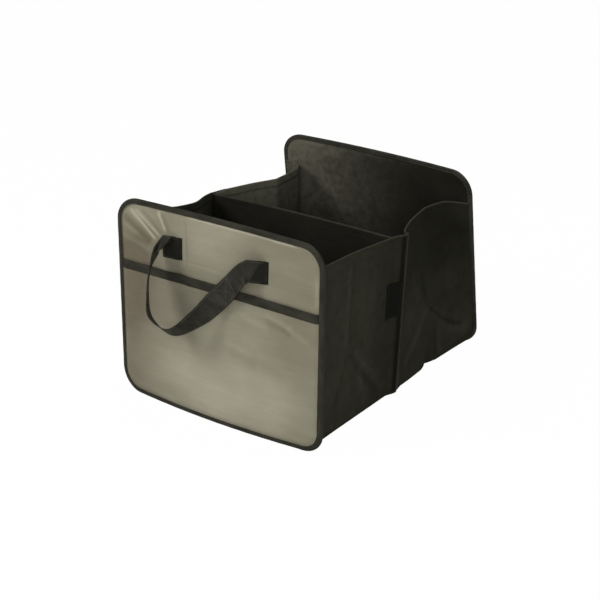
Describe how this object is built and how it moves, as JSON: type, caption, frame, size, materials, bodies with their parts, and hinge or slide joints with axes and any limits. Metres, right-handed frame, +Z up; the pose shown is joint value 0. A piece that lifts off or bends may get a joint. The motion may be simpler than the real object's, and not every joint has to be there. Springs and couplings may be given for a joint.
{
  "type": "car boot organizer",
  "caption": "Collapsible open-top organizer for a car boot: fabric bays between stiff bound end panels with pockets and strap handles, a divider board in a cloth sleeve and loose base boards.",
  "frame": {"origin": "middle of the part's bounding box, on the surface that it stands on", "axes": "X across the end panels, Y from the front end panel to the rear one, Z up"},
  "size_m": [0.38, 0.5918, 0.32],
  "materials": {
    "taupe_cloth": "coated cloth with a satin sheen, warm taupe grey",
    "black_cloth": "matt pressed non-woven cloth, near black",
    "lining": "matt cloth, dark olive grey",
    "tape": "woven tape and webbing, dark grey",
    "board": "grey board",
    "base_board": "board faced with black non-woven cloth",
    "hook_tape": "black hook tape"
  },
  "bodies": {
    "root": {"front_board": "board", "front_cover": "taupe_cloth", "front_lining": "lining", "front_pocket": "taupe_cloth", "front_pocket_band": "tape", "front_edge_tape": "tape", "front_handle": "tape", "rear_board": "board", "rear_cover": "taupe_cloth", "rear_lining": "lining", "rear_pocket": "taupe_cloth", "rear_pocket_band": "tape", "rear_edge_tape": "tape", "rear_handle": "tape", "front_bay_cloth": "black_cloth", "rear_bay_cloth": "black_cloth", "divider_sleeve": "black_cloth", "divider_board": "board", "front_base_board": "base_board", "rear_base_board": "base_board", "right_closure_patch": "hook_tape", "left_closure_patch": "hook_tape"}
  },
  "joints": []
}
